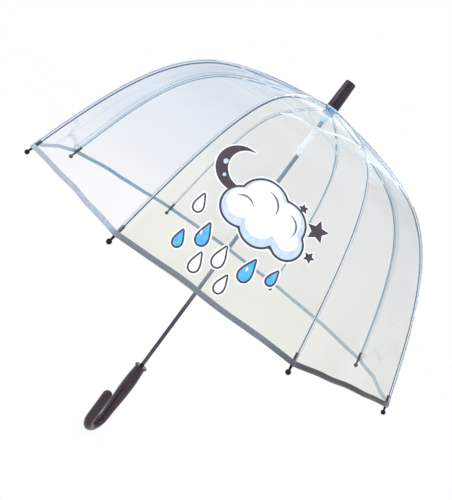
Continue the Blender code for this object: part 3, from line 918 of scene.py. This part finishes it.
def make_rivets():
    """The rivet through each stretcher's fork, with a domed head on both sides."""
    head, shank, half, under = 0.0017, 0.0008, 0.0032, 0.0029
    top = [(0.0, half + 0.0007), (head * 0.6, half + 0.0005)]
    top += [(head, half), (head, under), (shank, under)]
    profile = top + [(radius, -height) for radius, height in reversed(top)]
    for number in NUMBERS:
        outwards, sideways, up = spoke(rib_azimuth(number))
        corners = [v.co for v in frame["nodes"][f"stretcher_{number}"].data.vertices]
        far = max(corner.dot(outwards) for corner in corners)
        heights = [corner.z for corner in corners if corner.dot(outwards) > far - 2 * FORK_EYE_RADIUS]
        height = (min(heights) + max(heights)) / 2
        mesh = lathe("rivet", profile, 20)
        mesh.transform(standing(outwards * (far - FORK_EYE_RADIUS) + up * height, sideways))
        new_piece(f"rivet_{number}", mesh, WIRE, f"rib_upper_{number}", 40)


def make_ties():
    """Clear loops that tie the film to the ribs, each with a small welded patch on the film."""
    wide, tall, twist, strand = 0.0030, 0.0033, 0.0006, 0.0004
    patch = [(0.0, 0.0007), (0.0020, 0.0006), (0.0024, 0.0003), (0.0024, 0.0), (0.0, 0.0)]
    point, along = outline_at(FLEX_D + TIE_FROM_FLEX)
    normal = off_film(along)
    for number in NUMBERS:
        azimuth = rib_azimuth(number)
        sideways = spoke(azimuth)[1]
        direction, out = in_plane(azimuth, along), in_plane(azimuth, normal)
        centre = in_plane(azimuth, point - normal * wide)
        ring = []
        for a in circle(24):
            oval = centre + wide * cos(a) * sideways + tall * sin(a) * out
            ring.append(oval + twist * sin(2 * a) * direction)
        loop = tube("tie", ring, [strand] * 24, 8, loop=True)
        new_piece(f"tie_{number}", loop, FROSTED, f"rib_lower_{number}", 60)
        mesh = lathe("patch", patch, 24)
        mesh.transform(standing(in_plane(azimuth, point) + out * 0.0019, out))
        new_piece(f"tie_patch_{number}", mesh, FROSTED, f"rib_lower_{number}", 50)


def make_ring(name, joint, body):
    """The wire ring that holds the eyes of the ribs or of the stretchers."""
    point = joint_point(joint)
    ring = [(*polar(point.x, a), point.y) for a in circle(64)]
    new_piece(name, tube(name, ring, [0.0005] * 64, 10, loop=True), WIRE, body, 60)


# ---- shaft, hubs and handle


def make_ferrule():
    """A tapering cap with a rounded end, a groove near the end and a foot at the base."""
    low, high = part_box("ferrule")
    base, top, wide = low.z, high.z, high.x
    end, taper, band, groove, bore = wide - 0.0015, 0.0014, 0.0040, 0.0002, 0.0046
    profile = [(0.0, top), (end - 0.0022, top), (end - 0.0013, top - 0.0001)]
    profile += [(end - 0.0006, top - 0.0006), (end - groove, top - 0.0016), (end, top - 0.0028)]
    profile += [(end - groove, top - 0.0034), (end, top - band)]
    for i in range(1, 9):
        share = i / 8
        profile.append((end + taper * share, top - band - (top - base - 2 * band) * share))
    profile += [(wide - groove, base + 0.0036), (wide, base + 0.0030), (wide, base + 0.0010)]
    profile += [(wide - 0.0006, base), (bore, base), (bore, base + 0.0190), (0.0, base + 0.0210)]
    new_piece("ferrule_look", lathe("ferrule", profile, 72), FERRULE, "root", 35, ("ferrule",))


def make_collar():
    """A ring with rounded edges and a groove round it."""
    low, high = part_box("handle_collar")
    base, top, wide, bore = low.z, high.z, high.x, 0.0043
    profile = [(bore, top), (wide - 0.0021, top), (wide - 0.0008, top - 0.0003)]
    profile += [(wide - 0.0001, top - 0.0009), (wide, top - 0.0016), (wide - 0.0002, top - 0.0020)]
    profile += [(wide, top - 0.0024), (wide, base + 0.0009), (wide - 0.0004, base + 0.0003)]
    profile += [(wide - 0.0011, base), (bore, base)]
    mesh = lathe("collar", profile, 64, loop=True)
    new_piece("collar_look", mesh, AUBERGINE, "root", 35, ("handle_collar",))


def handle_line():
    """The handle's centreline and radii: a grip with a swell, a half turn, and the hook's arm."""
    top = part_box("crook_handle")[1].z
    crook = ARM_RADIUS + CROOK_RADIUS
    line = []
    for i in range(33):
        share = i / 32
        swell = GRIP_SWELL * sin(pi * share**0.75) ** 1.5
        radius = NECK_RADIUS + (ARM_RADIUS - NECK_RADIUS) * share + swell
        line.append((0, top - share * (top - ARM_RADIUS - CROOK_RADIUS), radius))
    for i in range(1, 33):
        line.append((*polar(CROOK_RADIUS, pi + pi * i / 32, (CROOK_RADIUS, crook)), ARM_RADIUS))
    for i in range(1, 13):
        height = crook + (HOOK_TIP_HEIGHT - ARM_RADIUS - crook) * i / 12
        line.append((2 * CROOK_RADIUS, height, ARM_RADIUS))
    for i in range(1, 11):
        turn = pi / 2 * i / 10
        height = HOOK_TIP_HEIGHT - ARM_RADIUS * (1 - sin(turn))
        line.append((2 * CROOK_RADIUS, height, max(1e-5, ARM_RADIUS * cos(turn))))
    return [(x, 0, z) for x, z, _ in line], [radius for _, _, radius in line]


def make_handle():
    mesh = tube("handle", *handle_line(), 32)
    mesh.transform(Matrix.Rotation(CROOK_AZIMUTH, 4, "Z"))
    new_piece("handle_look", mesh, AUBERGINE, "root", 60, ("crook_handle",))


# ---- closing strap


def strap_spot(offset, d, lift):
    """A point on or over the strap: offset is sideways from its middle line, which keeps off the rib."""
    middle = -(half_width(d) - STRAP_FROM_RIB - STRAP_WIDTH / 2)
    return on_gore(panel_azimuth(STRAP_PANEL), middle + offset, d, lift)


def make_strap():
    """A frosted band with a thicker border and a round end, on the film near its lower end."""
    round_share = 0.08
    rows = []
    for i in range(41):
        share = i / 40
        d = HEM_D - STRAP_FROM_HEM - STRAP_LENGTH * share
        puff = 0.0021 + 0.0008 * sin(pi * share) ** 2
        into_end = max(0.0, (share - 1 + round_share) / round_share)
        half = 0.5 * STRAP_WIDTH * sqrt(max(0.0, 1 - into_end**2)) + 1e-5
        row = []
        for j in range(-4, 5):
            border = 0.0002 if abs(j) > 2 else 0.0
            row.append(strap_spot(j / 4 * half, d, puff + border))
        rows.append(row)
    mesh = thick_sheet("strap", rows, 0.0005)
    strap = new_piece("strap_look", mesh, FROSTED, f"canopy_lower_{STRAP_PANEL}", 60, ("closing_strap",))
    fold_with_panel(strap)


def make_stud():
    """The press stud on the strap's round end."""
    d = HEM_D - STRAP_FROM_HEM - STRAP_LENGTH + STUD_FROM_END
    centre = strap_spot(0.0, d, 0.0025)
    above = strap_spot(0.0, d, 0.0040)
    profile = [(0.0, 0.0019), (0.0015, 0.0018), (0.0023, 0.0013), (0.0026, 0.0008)]
    profile += [(0.0040, 0.0007), (0.0047, 0.0004), (0.0048, 0.0), (0.0, 0.0)]
    mesh = lathe("stud", profile, 40)
    mesh.transform(standing(centre, above - centre))
    stud = new_piece("stud_look", mesh, FROSTED, f"canopy_lower_{STRAP_PANEL}", 40, ("strap_stud",))
    fold_with_panel(stud)


# ---- print


def turned(spots, centre, turn):
    """The points turned about the origin and moved to the centre."""
    c, s = cos(turn), sin(turn)
    return [(centre[0] + x * c - y * s, centre[1] + x * s + y * c) for x, y in spots]


def ellipse(centre, across, tall, turn=0.0):
    return turned([(across * cos(a), tall * sin(a)) for a in circle(40)], centre, turn)


def drop(centre, size, turn):
    """A raindrop with its point up."""
    rounds = circle(44)
    spots = [(0.62 * size * sin(a) * sin(a / 2) ** 1.6, size * (cos(a) * 0.95 - 0.05)) for a in rounds]
    return turned(spots, centre, turn)


def crescent(centre, radius, turn, count=30):
    """A moon: an outer arc, and the arc of a smaller circle, set off to one side, that bites into it."""
    bite, aside = 0.82, 0.32
    horn = (1 - bite**2 + aside**2) / (2 * aside)
    outer = acos(horn)
    inner = atan2(sin(outer), horn - aside)
    spots = [polar(radius, outer + (2 * pi - 2 * outer) * i / count) for i in range(count + 1)]
    for i in range(1, count):
        a = 2 * pi - inner - (2 * pi - 2 * inner) * i / count
        spots.append((radius * (aside + bite * cos(a)), radius * bite * sin(a)))
    return turned(spots, centre, turn)


def star(centre, radius, turn):
    """A five-pointed star with blunt inner corners."""
    spots = []
    for i in range(10):
        reach = radius if i % 2 == 0 else radius * 0.48
        spots.append(polar(reach, pi / 2 + pi * i / 5))
    return turned(spots, centre, turn)


def stroke(centre, radius, start, end, width, count=20):
    """A curved line that is thickest in its middle, between these angles in degrees."""
    outside, inside = [], []
    start, end = radians(start), radians(end)
    for i in range(count + 1):
        share = i / count
        a = start + (end - start) * share
        half = width / 2 * sin(pi * share) + 0.0001
        outside.append(polar(radius + half, a, centre))
        inside.append(polar(radius - half, a, centre))
    return outside + inside[::-1]


def cloud(centre, puffs, grow=0.0):
    """The outline round several circles, seen from the centre."""
    spots = []
    for a in circle(120):
        ray = Vector((cos(a), sin(a)))
        reach = 0.0
        for x, y, radius in puffs:
            spot = Vector((x, y))
            along = spot.dot(ray)
            gap = spot.length_squared - along * along
            if gap < (radius + grow) ** 2:
                reach = max(reach, along + sqrt((radius + grow) ** 2 - gap))
        spots.append((centre[0] + reach * ray.x, centre[1] + reach * ray.y))
    return spots


def grown(outline, width):
    """The outline moved outwards by this width."""
    count = len(outline)
    area = sum(a[0] * b[1] - b[0] * a[1] for a, b in zip(outline, outline[1:] + outline[:1]))
    sign = 1 if area > 0 else -1
    spots = []
    for i in range(count):
        before, after = Vector(outline[i - 1]), Vector(outline[(i + 1) % count])
        along = (after - before).normalized()
        spots.append((outline[i][0] + sign * along.y * width, outline[i][1] - sign * along.x * width))
    return spots


PRINT_CENTRE = (-0.004, FLEX_D + 0.205)


def print_layer(name, shapes, shader, lift):
    """Flat shapes in (u, height) about the print's centre, laid on the film at this lift."""
    azimuth = panel_azimuth(PRINT_PANEL)
    mesh = bpy.data.meshes.new(name)
    with editing(mesh) as shape:
        for outline in shapes:
            shape.faces.new([shape.verts.new((x, y, 0)) for x, y in outline])
        shape.normal_update()
        bmesh.ops.triangulate(shape, faces=shape.faces)
        cut_across(shape, Vector((1, 0, 0)), [i * 0.010 for i in range(-20, 21)])
        cut_across(shape, Vector((0, 1, 0)), [i * 0.006 for i in range(-20, 21)])
        for vert in shape.verts:
            vert.co = on_gore(azimuth, vert.co.x + PRINT_CENTRE[0], PRINT_CENTRE[1] - vert.co.y, lift)
    tidy_mesh(mesh)
    piece = new_piece(name, mesh, shader, f"canopy_lower_{PRINT_PANEL}", 80)
    fold_with_panel(piece)


def make_print():
    """A night rain cloud: a cloud with curls, a moon and stars beside it, and drops below."""
    x, y = middle = (0.004, 0.026)
    rim = 0.0034
    puffs = [(-0.036, -0.006, 0.030), (-0.012, 0.018, 0.037), (0.028, 0.010, 0.035)]
    puffs += [(0.050, -0.012, 0.024), (0.004, -0.014, 0.031)]
    lit = [(x - 0.002, y + 0.005, radius - 0.007) for x, y, radius in puffs]
    moon = crescent((-0.066, 0.068), 0.038, radians(30))
    stars = [star((0.082, 0.060), 0.019, 0.2), star((0.093, 0.018), 0.010, -0.1)]
    stars.append(star((0.046, 0.077), 0.009, 0.4))
    blue = [drop((-0.052, -0.047), 0.019, 0.12), drop((0.030, -0.052), 0.020, -0.05)]
    white = [drop((-0.084, -0.012), 0.015, 0.15), drop((-0.014, -0.060), 0.018, 0.05)]
    white += [drop((-0.038, -0.088), 0.016, 0.1), drop((0.010, -0.092), 0.015, 0.0)]
    small_blue = [drop((-0.078, -0.074), 0.014, 0.15), drop((0.066, -0.040), 0.013, -0.1)]
    drops = blue + white + small_blue
    dark = [moon, *stars, cloud(middle, puffs, rim)] + [grown(shape, rim * 0.8) for shape in drops]
    curls = [stroke((x - 0.012, y + 0.016), 0.024, 100, -10, 0.0032)]
    curls.append(stroke((x + 0.030, y + 0.008), 0.021, 95, -25, 0.0030))
    curls.append(stroke((x - 0.036, y - 0.006), 0.018, 150, 30, 0.0028))
    shines = [ellipse((shape[0][0] - 0.003, shape[0][1] - 0.019), 0.0013, 0.0036, 0.2) for shape in blue]
    craters = [ellipse((-0.090, 0.064), 0.0036, 0.0044), ellipse((-0.080, 0.045), 0.0026, 0.0030)]
    layers = (
        ("halo", [grown(shape, 0.0022) for shape in dark]),
        ("dark", dark),
        ("pale", [cloud(middle, puffs)] + craters),
        ("white", [cloud(middle, lit)] + white),
        ("blue", blue + small_blue),
        ("grey", curls),
        ("white", shines),
    )
    for number, (tone, shapes) in enumerate(layers):
        print_layer(f"print_{number}_{tone}", shapes, INKS[tone], 0.00035 + 0.00018 * number)


make_gores()
make_seams()
make_hem()
make_ribs()
make_tips()
make_stretchers()
make_rivets()
make_ties()
make_ring("crown_ring", "rib_hinge_1", "root")
make_ring("runner_ring", "stretcher_hinge_1", "runner")
make_ferrule()
make_collar()
make_handle()
from_cad("shaft_tube", STEEL, "root", 0.00008)
from_cad("runner", WHITE, "runner", 0.00025)
from_cad("crown_notch", CROWN, "root", 0.00025)
from_cad("crown_washer", CROWN, "root", 0.00025)
from_cad("top_catch", SPRING, "top_catch", 0.00015)
from_cad("lower_catch", SPRING, "lower_catch", 0.00015)
make_strap()
make_stud()
make_print()


# ---- studio

FLOOR_HALF = 14
FLOOR_GAP = 0.004
CAMERA_PLACE = (-0.0600, -1.4106, 0.5866)
CAMERA_AZIMUTH = radians(87.65)
CAMERA_ELEVATION = radians(-5.69)
CAMERA_ROLL = radians(36.53)
CAMERA_LENS = 52.5

# Lights that only reflections see: azimuth, elevation and radius in degrees, and strength
SOFT_SPOTS = (
    (64, 46, 13, 4.0),
    (84, 24, 15, 0.8),
    (250, 38, 16, 1.2),
    (335, 30, 10, 4.0),
    (190, 20, 14, 3.0),
    (212, 7, 9, 2.6),
    (120, 62, 12, 3.0),
)

# The room's colour from the floor, at 0, to the ceiling, at 1
ROOM_STOPS = (
    (0.00, (0.85, 0.85, 0.85)),
    (0.48, (0.60, 0.64, 0.70)),
    (0.62, (0.62, 0.68, 0.76)),
    (1.00, (0.85, 0.90, 0.96)),
)


def make_stage():
    """A plain white floor just under the crook."""
    signs = ((-1, -1), (1, -1), (1, 1), (-1, 1))
    corners = [(x * FLOOR_HALF, y * FLOOR_HALF, 0) for x, y in signs]
    mesh = bpy.data.meshes.new("floor")
    mesh.from_pydata(corners, [], [(0, 1, 2, 3)])
    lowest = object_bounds()[0].z
    floor = placed("floor", mesh)
    floor.location.z = lowest - FLOOR_GAP
    made = Shader("floor")
    mottle = made.ramp(made.noise(1.5, 2), [(0.3, (0.88, 0.88, 0.88)), (0.7, (0.92, 0.92, 0.92))])
    made.set(Base_Color=mottle, Roughness=0.9)
    glow = made.node("Emission", Color=(1, 1, 1, 1), Strength=1.0)
    made.finish(made.either(0.93, made.surface, glow))
    mesh.materials.append(made.material)


def make_world():
    """White to the camera. Reflections see a grey-blue, uneven room with soft-edged lights."""
    world = bpy.data.worlds.new("studio")
    world.use_nodes = True
    scene.world = world
    made = Nodes(world.node_tree)
    direction = made.node("TexCoord").outputs["Generated"]
    height = made.node("SeparateXYZ", Vector=direction).outputs["Z"]
    cloudy = made.node("TexNoise", Vector=direction, Scale=2.6).outputs["Fac"]
    uneven = made.node("MapRange", Value=cloudy, From_Min=0.35, From_Max=0.65, To_Min=0.55, To_Max=1.45)
    total = made.vector("MULTIPLY", made.ramp(made.share(height, -1.0, 1.0), ROOM_STOPS), uneven)
    for azimuth, elevation, radius, strength in SOFT_SPOTS:
        outwards, _, up = spoke(radians(azimuth))
        aim = outwards * cos(radians(elevation)) + up * sin(radians(elevation))
        spot = made.share(made.dot(direction, aim), cos(radians(radius)), cos(radians(radius * 0.55)))
        spot.interpolation_type = "SMOOTHSTEP"
        made.put(spot, "To Max", strength)
        total = made.vector("ADD", total, spot)
    room = made.nodes["Background"]
    made.put(room, "Color", total)
    white = made.node("Background", Color=(1, 1, 1, 1))
    seen = made.node("LightPath").outputs["Is Camera Ray"]
    made.put(made.nodes["World Output"], "Surface", made.either(seen, room, white))


def soft_box(name, place, target, size, power, colour):
    light = bpy.data.lights.new(name, "AREA")
    light.shape = "RECTANGLE"
    light.size, light.size_y = size
    light.energy = power
    light.color = colour
    made = placed(name, light)
    made.location = place
    made.visible_glossy = False
    made.rotation_mode = "QUATERNION"
    made.rotation_quaternion = (Vector(target) - Vector(place)).to_track_quat("-Z", "Y")


def make_camera():
    """A little above the level of the rim, rolled so that the ferrule leans to the right."""
    outwards, _, vertical = spoke(CAMERA_AZIMUTH)
    forward = outwards * cos(CAMERA_ELEVATION) + vertical * sin(CAMERA_ELEVATION)
    level = forward.cross(vertical).normalized()
    right = level * cos(CAMERA_ROLL) + level.cross(forward) * sin(CAMERA_ROLL)
    turn = Matrix((right, right.cross(forward), -forward)).transposed()
    data = bpy.data.cameras.new("camera")
    data.lens = CAMERA_LENS
    data.sensor_width = 36
    camera = placed("camera", data)
    camera.matrix_world = Matrix.Translation(CAMERA_PLACE) @ turn.to_4x4()
    scene.camera = camera


make_stage()
make_world()
soft_box("key", (-1.3, -1.5, 2.1), (0, 0, 0.5), (1.2, 0.8), 16, (1.0, 0.99, 0.97))
soft_box("fill", (1.8, -1.2, 1.2), (0, 0, 0.5), (0.9, 1.4), 6, (0.95, 0.98, 1.0))
soft_box("rim", (0.6, 1.8, 1.9), (0, 0, 0.6), (1.4, 0.5), 10, (0.94, 0.97, 1.0))
make_camera()
scene.view_settings.view_transform = "Standard"
scene.cycles.transparent_max_bounces = 64
